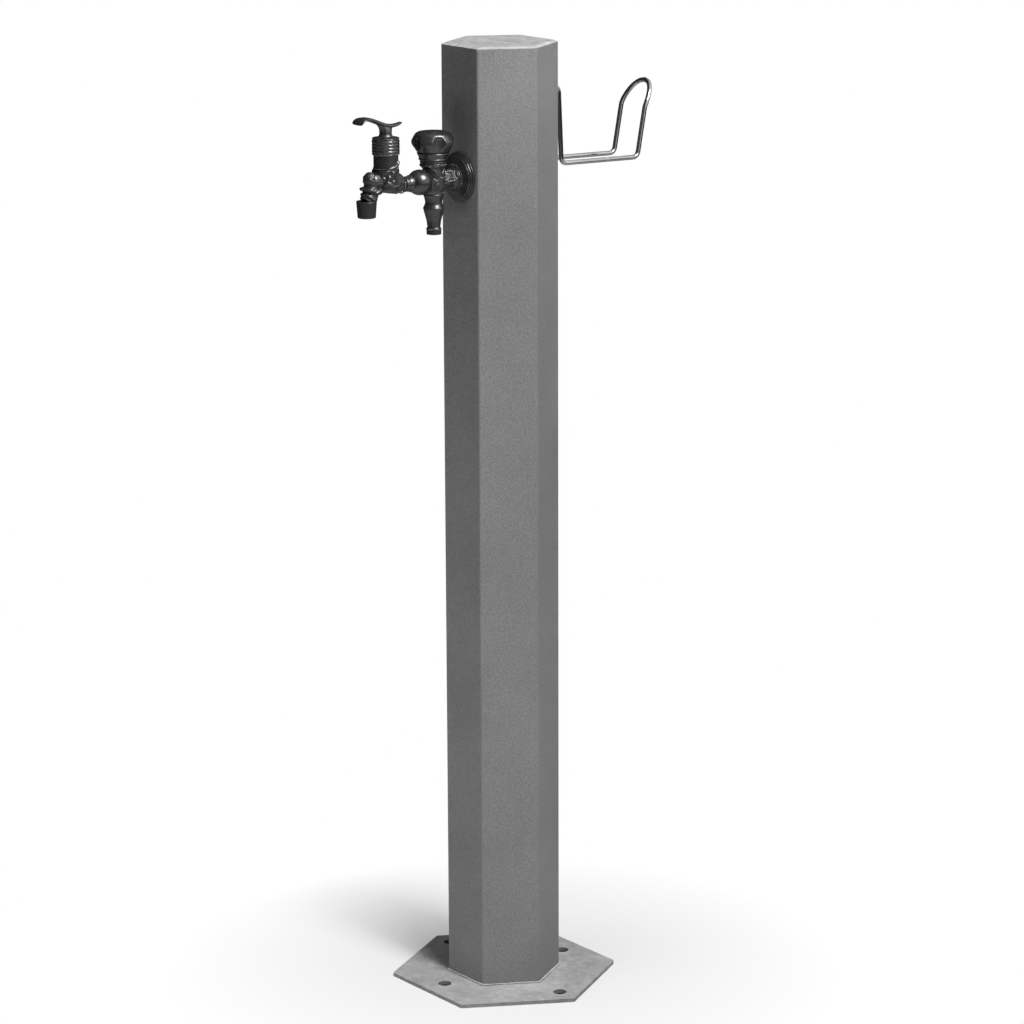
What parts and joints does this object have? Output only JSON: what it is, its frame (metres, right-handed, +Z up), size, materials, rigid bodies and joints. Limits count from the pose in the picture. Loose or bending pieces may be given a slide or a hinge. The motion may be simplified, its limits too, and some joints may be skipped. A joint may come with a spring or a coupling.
{
  "type": "garden standpipe",
  "caption": "Hexagonal garden standpipe on a base plate, with an ornamented double-outlet tap, a lever, a screw-down knob and a wire hose holder.",
  "frame": {"origin": "centre of the base plate's underside, between its fixing holes", "axes": "+Z up along the post; the tap reaches towards -Y, the hose holder towards +Y, and two opposite fixing holes lie along X"},
  "size_m": [0.2388, 0.375, 1],
  "materials": {
    "post_coat": "fine-grained matt powder coat, mid grey",
    "zinc": "hot-dip galvanised, softly mottled",
    "tap_black": "glossy black lacquer on cast brass",
    "nozzle_black": "satin black",
    "bright_wire": "polished stainless wire",
    "brass": "machined brass",
    "inner_steel": "plain stainless steel",
    "seal_rubber": "black rubber",
    "ceramic": "lapped white ceramic"
  },
  "bodies": {
    "standpipe": {"base_plate": "zinc", "post_tube": "post_coat", "foot_weld": "zinc", "top_cap": "zinc", "foot_bridge": "inner_steel", "inlet_fitting": "brass", "inlet_locknut": "brass", "riser_pipe": "inner_steel", "elbow_fitting": "brass", "tap_backnut": "brass", "backnut_washer": "inner_steel", "wall_gasket": "seal_rubber", "wall_rosette": "tap_black", "rear_body": "tap_black", "rear_bonnet": "tap_black", "rear_o_ring": "seal_rubber", "rear_outlet": "tap_black", "link_bulb": "tap_black", "front_body": "tap_black", "front_seal": "seal_rubber", "fixed_disc": "ceramic", "front_cartridge": "brass", "front_o_ring": "seal_rubber", "front_bonnet": "tap_black", "bonnet_cap": "tap_black", "spout_nozzle": "nozzle_black", "nozzle_gasket": "seal_rubber", "flow_mesh": "inner_steel", "hose_holder": "bright_wire", "holder_washers": "bright_wire", "holder_nuts": "bright_wire"},
    "front_lever": {"front_lever": "tap_black", "lever_screw": "inner_steel", "front_stem": "brass", "turning_disc": "ceramic"},
    "rear_knob": {"rear_knob": "tap_black", "knob_screw": "inner_steel", "knob_cap": "tap_black", "rear_stem": "brass"},
    "rear_washer_carrier": {"rear_carrier": "brass", "rear_washer": "seal_rubber"}
  },
  "joints": [
    {"name": "front_lever_turn", "type": "hinge", "parent": "standpipe", "child": "front_lever", "pos_m": [0, -0.14446, 0.92], "axis": [0, 0, 1], "range_deg": [0, 90]},
    {"name": "rear_knob_turn", "type": "hinge", "parent": "standpipe", "child": "rear_knob", "pos_m": [0, -0.08546, 0.9], "axis": [0, 0, 1], "range_deg": [0, 540]},
    {"name": "rear_carrier_lift", "type": "slide", "parent": "standpipe", "child": "rear_washer_carrier", "axis": [0, 0, 1], "range_m": [0, 0.006]}
  ],
  "couplings": [
    {"joint": "rear_carrier_lift", "follows": "rear_knob_turn", "m_per_rad": 0.000636}
  ]
}
